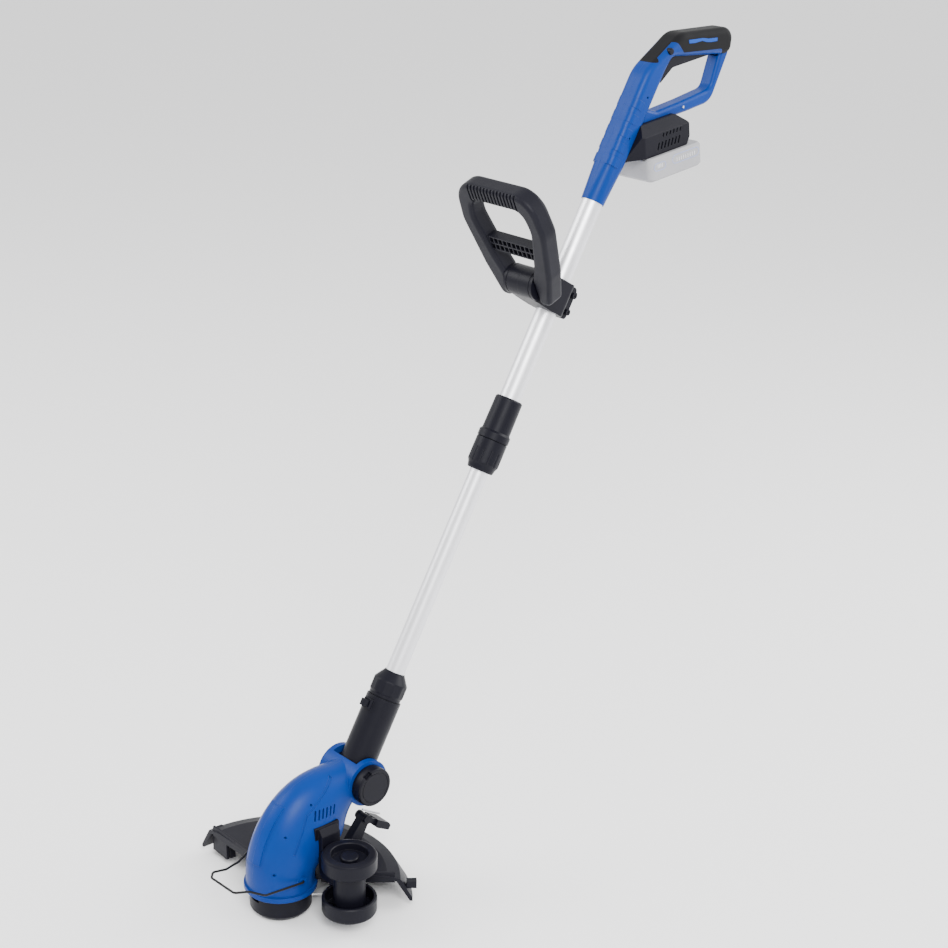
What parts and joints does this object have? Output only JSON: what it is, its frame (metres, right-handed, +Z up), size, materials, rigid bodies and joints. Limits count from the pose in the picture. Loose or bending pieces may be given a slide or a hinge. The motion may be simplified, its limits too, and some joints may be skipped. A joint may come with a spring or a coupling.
{
  "type": "lawn edger",
  "caption": "Cordless telescopic grass trimmer and lawn edger with tilting rotating head, guard, edge wheels, front loop handle and slide-on battery",
  "frame": {"origin": "on the axis of the line spool, at the underside of its cap, where the tool stands on the ground", "axes": "+X runs back towards the user in the plane of the shaft, +Y to the user's right, +Z up along the spool axis"},
  "size_m": [0.8379, 0.291, 1.0618],
  "materials": {
    "blue_plastic": "fine moulded texture, satin",
    "black_plastic": "fine moulded texture",
    "grip_rubber": "soft matt rubber",
    "tube_silver": "pale satin anodised",
    "steel": "bright zinc plated steel",
    "copper": "plated contact metal",
    "pack_grey": "pale grey moulded plastic",
    "cell_wrap": "thin shrink sleeve",
    "lead_black": "black lead jacket",
    "line_white": "clear white nylon line",
    "bush_white": "natural acetal",
    "dark_steel": "hardened blade steel"
  },
  "bodies": {
    "handle": {"rear_handle_left_shell": "blue_plastic", "rear_handle_right_shell": "blue_plastic", "grip_overmould": "grip_rubber", "handle_screws": "steel", "battery_bay": "black_plastic", "battery_terminals": "copper", "switch_body": "black_plastic", "trigger_pin": "steel", "trigger_spring": "steel", "handle_lead": "lead_black", "coiled_lead": "lead_black", "upper_tube": "tube_silver", "telescope_sleeve": "black_plastic", "telescope_collet": "black_plastic"},
    "trigger": {"trigger": "black_plastic"},
    "lock_off_button": {"lock_off_button": "black_plastic"},
    "telescope_nut": {"telescope_nut": "black_plastic"},
    "battery": {"battery_case_lower": "pack_grey", "battery_case_upper": "pack_grey", "battery_cells": "cell_wrap"},
    "battery_release": {"battery_release_button": "pack_grey"},
    "aux_clamp": {"aux_clamp_left": "black_plastic", "aux_clamp_right": "black_plastic", "aux_clamp_screws": "steel", "aux_pivot_bolt": "steel"},
    "aux_loop": {"aux_handle_loop": "black_plastic"},
    "lower_shaft": {"lower_tube": "tube_silver", "tube_guide_bush": "bush_white", "tube_lead": "lead_black"},
    "neck_nut": {"neck_nut": "black_plastic"},
    "neck": {"neck_sleeve": "black_plastic"},
    "rotation_lock": {"rotation_lock_button": "black_plastic"},
    "head": {"head_shell_left": "blue_plastic", "head_shell_right": "blue_plastic", "head_screws": "steel", "pivot_bolt": "steel", "motor_can": "steel", "head_lead": "lead_black", "debris_guard": "black_plastic", "line_cutter_blade": "dark_steel", "wheel_bracket": "black_plastic", "wheel_axle": "steel", "pedal_strut": "black_plastic"},
    "tilt_knob": {"tilt_knob": "black_plastic"},
    "tilt_pedal": {"tilt_pedal": "black_plastic", "pedal_wire": "steel"},
    "spool_head": {"motor_rotor": "steel", "cooling_fan": "bush_white", "spool_carrier": "black_plastic", "line_reel": "black_plastic", "wound_line": "line_white", "reel_spring": "steel", "spool_cap": "black_plastic", "line_eyelets": "steel", "cutting_line": "line_white"},
    "upper_wheel": {"upper_edge_wheel": "black_plastic", "wheel_cap": "black_plastic"},
    "lower_wheel": {"lower_edge_wheel": "black_plastic"},
    "plant_guard": {"plant_guard_wire": "steel"}
  },
  "joints": [
    {"name": "trigger_squeeze", "type": "hinge", "parent": "handle", "child": "trigger", "pos_m": [0.72146, 0, 1.03614], "axis": [0, 1, 0], "range_deg": [0, 5], "stiffness_Nm_per_rad": 6, "springref_deg": -1.15},
    {"name": "lock_off_press", "type": "slide", "parent": "handle", "child": "lock_off_button", "axis": [0, 1, 0], "range_m": [0, 0.002], "stiffness_N_per_m": 400, "springref_m": -0.001},
    {"name": "telescope_nut_turn", "type": "hinge", "parent": "handle", "child": "telescope_nut", "pos_m": [0.33133, 0, 0.53471], "axis": [0.4894, 0, 0.8721], "range_deg": [0, 90]},
    {"name": "battery_slide", "type": "slide", "parent": "handle", "child": "battery", "axis": [0.989, 0, 0.1478], "range_m": [0, 0.1]},
    {"name": "battery_release_press", "type": "slide", "parent": "battery", "child": "battery_release", "axis": [-0.989, 0, -0.1478], "range_m": [0, 0.0018], "stiffness_N_per_m": 400, "springref_m": -0.001},
    {"name": "front_handle_slide", "type": "slide", "parent": "handle", "child": "aux_clamp", "axis": [0.4894, 0, 0.8721], "range_m": [-0.11, 0.095]},
    {"name": "front_handle_tilt", "type": "hinge", "parent": "aux_clamp", "child": "aux_loop", "pos_m": [0.39952, 0, 0.76248], "axis": [0, 1, 0], "range_deg": [-45, 50]},
    {"name": "telescope_slide", "type": "slide", "parent": "handle", "child": "lower_shaft", "axis": [0.4894, 0, 0.8721], "range_m": [0, 0.2], "deforming": ["coiled_lead"]},
    {"name": "neck_nut_turn", "type": "hinge", "parent": "lower_shaft", "child": "neck_nut", "pos_m": [0.16983, 0, 0.24693], "axis": [0.4894, 0, 0.8721], "range_deg": [0, 90]},
    {"name": "head_rotation", "type": "hinge", "parent": "lower_shaft", "child": "neck", "pos_m": [0.116, 0, 0.151], "axis": [0.4894, 0, 0.8721], "range_deg": [0, 180]},
    {"name": "rotation_lock_press", "type": "slide", "parent": "neck", "child": "rotation_lock", "axis": [0.8721, 0, -0.4894], "range_m": [0, 0.0015], "stiffness_N_per_m": 400, "springref_m": -0.001},
    {"name": "head_tilt", "type": "hinge", "parent": "neck", "child": "head", "pos_m": [0.116, 0, 0.151], "axis": [0, 1, 0], "range_deg": [-50, 0]},
    {"name": "tilt_knob_turn", "type": "hinge", "parent": "head", "child": "tilt_knob", "pos_m": [0.116, 0, 0.151], "axis": [0, 1, 0], "range_deg": [0, 90]},
    {"name": "pedal_press", "type": "hinge", "parent": "head", "child": "tilt_pedal", "pos_m": [0.122, 0, 0.092], "axis": [0, 1, 0], "range_deg": [0, 12], "stiffness_Nm_per_rad": 0.8, "springref_deg": -5.73},
    {"name": "spool_spin", "type": "hinge", "parent": "head", "child": "spool_head", "pos_m": [0, 0, 0.04], "axis": [0, 0, 1], "continuous": true},
    {"name": "upper_wheel_roll", "type": "hinge", "parent": "head", "child": "upper_wheel", "pos_m": [0.043, -0.087, 0.09], "axis": [0, 0, 1], "continuous": true},
    {"name": "lower_wheel_roll", "type": "hinge", "parent": "head", "child": "lower_wheel", "pos_m": [0.043, -0.087, 0.03], "axis": [0, 0, 1], "continuous": true},
    {"name": "plant_guard_swing", "type": "hinge", "parent": "head", "child": "plant_guard", "pos_m": [0, 0, 0.06], "axis": [0, 1, 0], "range_deg": [0, 60]}
  ]
}
